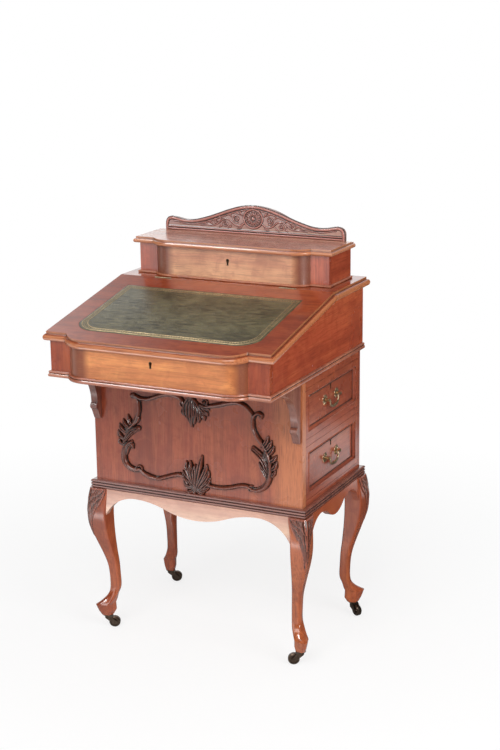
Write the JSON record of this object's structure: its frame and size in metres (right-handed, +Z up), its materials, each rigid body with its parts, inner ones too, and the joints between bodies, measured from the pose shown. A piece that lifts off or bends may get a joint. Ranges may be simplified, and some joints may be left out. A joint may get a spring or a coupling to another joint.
{
  "type": "davenport desk",
  "caption": "Davenport desk with a sloping leather lid, stationery box with gallery, side drawers, and cabriole legs on casters.",
  "frame": {"origin": "on the floor under the middle of the bounding box", "axes": "+X to the sitter's right, where the drawers open; +Y to the back; +Z up"},
  "size_m": [0.566, 0.5659, 0.9961],
  "materials": {
    "mahogany": "polished",
    "golden_mahogany": "polished",
    "carved_mahogany": "waxed",
    "plain_oak": "matt",
    "green_leather": "satin",
    "aged_brass": "aged",
    "lock_brass": "satin",
    "caster_bronze": "aged"
  },
  "bodies": {
    "desk_frame": {"leg_front_left": "mahogany", "leg_front_right": "mahogany", "leg_back_left": "mahogany", "leg_back_right": "mahogany", "front_apron": "mahogany", "back_apron": "mahogany", "side_aprons": "mahogany", "base_moulding": "mahogany", "caster_sockets": "caster_bronze", "back_panel": "mahogany", "front_panel": "mahogany", "left_panel": "mahogany", "case_bottom": "plain_oak", "drawer_rails": "mahogany", "drawer_runners": "plain_oak", "sham_drawer_fronts": "mahogany", "sham_handle_posts": "aged_brass", "brackets": "carved_mahogany", "carved_cartouche": "carved_mahogany", "box_base_board": "mahogany", "box_sides": "mahogany", "box_back": "plain_oak", "box_pilasters": "mahogany", "box_front": "golden_mahogany", "flat_top": "mahogany", "upper_base_board": "mahogany", "upper_front": "golden_mahogany", "upper_pilasters": "mahogany", "upper_sides": "mahogany", "upper_back": "mahogany", "stationery_dividers": "plain_oak", "hinge_fixed_leaves": "aged_brass", "hinge_pins": "aged_brass", "lid_locks": "lock_brass"},
    "writing_lid_part": {"writing_lid": "mahogany", "leather_panel": "green_leather", "writing_lid_leaves": "aged_brass"},
    "upper_lid_part": {"upper_lid": "mahogany", "gallery": "mahogany", "upper_lid_leaves": "aged_brass"},
    "upper_drawer": {"upper_drawer_front": "mahogany", "upper_drawer_box": "plain_oak", "upper_drawer_lock": "lock_brass", "upper_handle_posts": "aged_brass"},
    "upper_bail": {"upper_handle_bail": "aged_brass"},
    "upper_left_bail": {"upper_sham_bail": "aged_brass"},
    "lower_drawer": {"lower_drawer_front": "mahogany", "lower_drawer_box": "plain_oak", "lower_drawer_lock": "lock_brass", "lower_handle_posts": "aged_brass"},
    "lower_bail": {"lower_handle_bail": "aged_brass"},
    "lower_left_bail": {"lower_sham_bail": "aged_brass"},
    "front_left_horn": {"caster_horn_front_left": "caster_bronze"},
    "front_left_wheel": {"caster_wheel_front_left": "caster_bronze"},
    "front_right_horn": {"caster_horn_front_right": "caster_bronze"},
    "front_right_wheel": {"caster_wheel_front_right": "caster_bronze"},
    "back_left_horn": {"caster_horn_back_left": "caster_bronze"},
    "back_left_wheel": {"caster_wheel_back_left": "caster_bronze"},
    "back_right_horn": {"caster_horn_back_right": "caster_bronze"},
    "back_right_wheel": {"caster_wheel_back_right": "caster_bronze"}
  },
  "joints": [
    {"name": "writing_lid_hinge", "type": "hinge", "parent": "desk_frame", "child": "writing_lid_part", "pos_m": [0, 0.07887, 0.84], "axis": [-1, 0, 0], "range_deg": [0, 105]},
    {"name": "upper_lid_hinge", "type": "hinge", "parent": "desk_frame", "child": "upper_lid_part", "pos_m": [0, 0.24887, 0.9123], "axis": [-1, 0, 0], "range_deg": [0, 95]},
    {"name": "upper_drawer_slide", "type": "slide", "parent": "desk_frame", "child": "upper_drawer", "axis": [1, 0, 0], "range_m": [0, 0.34]},
    {"name": "upper_bail_swing", "type": "hinge", "parent": "upper_drawer", "child": "upper_bail", "pos_m": [0.2685, 0.09437, 0.59525], "axis": [0, -1, 0], "range_deg": [0, 95]},
    {"name": "upper_left_bail_swing", "type": "hinge", "parent": "desk_frame", "child": "upper_left_bail", "pos_m": [-0.2685, 0.09437, 0.59525], "axis": [0, 1, 0], "range_deg": [0, 95]},
    {"name": "lower_drawer_slide", "type": "slide", "parent": "desk_frame", "child": "lower_drawer", "axis": [1, 0, 0], "range_m": [0, 0.34]},
    {"name": "lower_bail_swing", "type": "hinge", "parent": "lower_drawer", "child": "lower_bail", "pos_m": [0.2685, 0.09437, 0.45775], "axis": [0, -1, 0], "range_deg": [0, 95]},
    {"name": "lower_left_bail_swing", "type": "hinge", "parent": "desk_frame", "child": "lower_left_bail", "pos_m": [-0.2685, 0.09437, 0.45775], "axis": [0, 1, 0], "range_deg": [0, 95]},
    {"name": "front_left_swivel", "type": "hinge", "parent": "desk_frame", "child": "front_left_horn", "pos_m": [-0.255, -0.06613, 0.03], "axis": [0, 0, 1], "continuous": true},
    {"name": "front_left_roll", "type": "hinge", "parent": "front_left_horn", "child": "front_left_wheel", "pos_m": [-0.2405, -0.05937, 0.0135], "axis": [-0.4226, 0.9063, 0], "continuous": true},
    {"name": "front_right_swivel", "type": "hinge", "parent": "desk_frame", "child": "front_right_horn", "pos_m": [0.255, -0.06613, 0.03], "axis": [0, 0, 1], "continuous": true},
    {"name": "front_right_roll", "type": "hinge", "parent": "front_right_horn", "child": "front_right_wheel", "pos_m": [0.2405, -0.07289, 0.0135], "axis": [0.4226, -0.9063, 0], "continuous": true},
    {"name": "back_left_swivel", "type": "hinge", "parent": "desk_frame", "child": "back_left_horn", "pos_m": [-0.255, 0.24887, 0.03], "axis": [0, 0, 1], "continuous": true},
    {"name": "back_left_roll", "type": "hinge", "parent": "back_left_horn", "child": "back_left_wheel", "pos_m": [-0.2405, 0.25563, 0.0135], "axis": [-0.4226, 0.9063, 0], "continuous": true},
    {"name": "back_right_swivel", "type": "hinge", "parent": "desk_frame", "child": "back_right_horn", "pos_m": [0.255, 0.24887, 0.03], "axis": [0, 0, 1], "continuous": true},
    {"name": "back_right_roll", "type": "hinge", "parent": "back_right_horn", "child": "back_right_wheel", "pos_m": [0.26886, 0.24087, 0.0135], "axis": [0.5, 0.866, 0], "continuous": true}
  ]
}
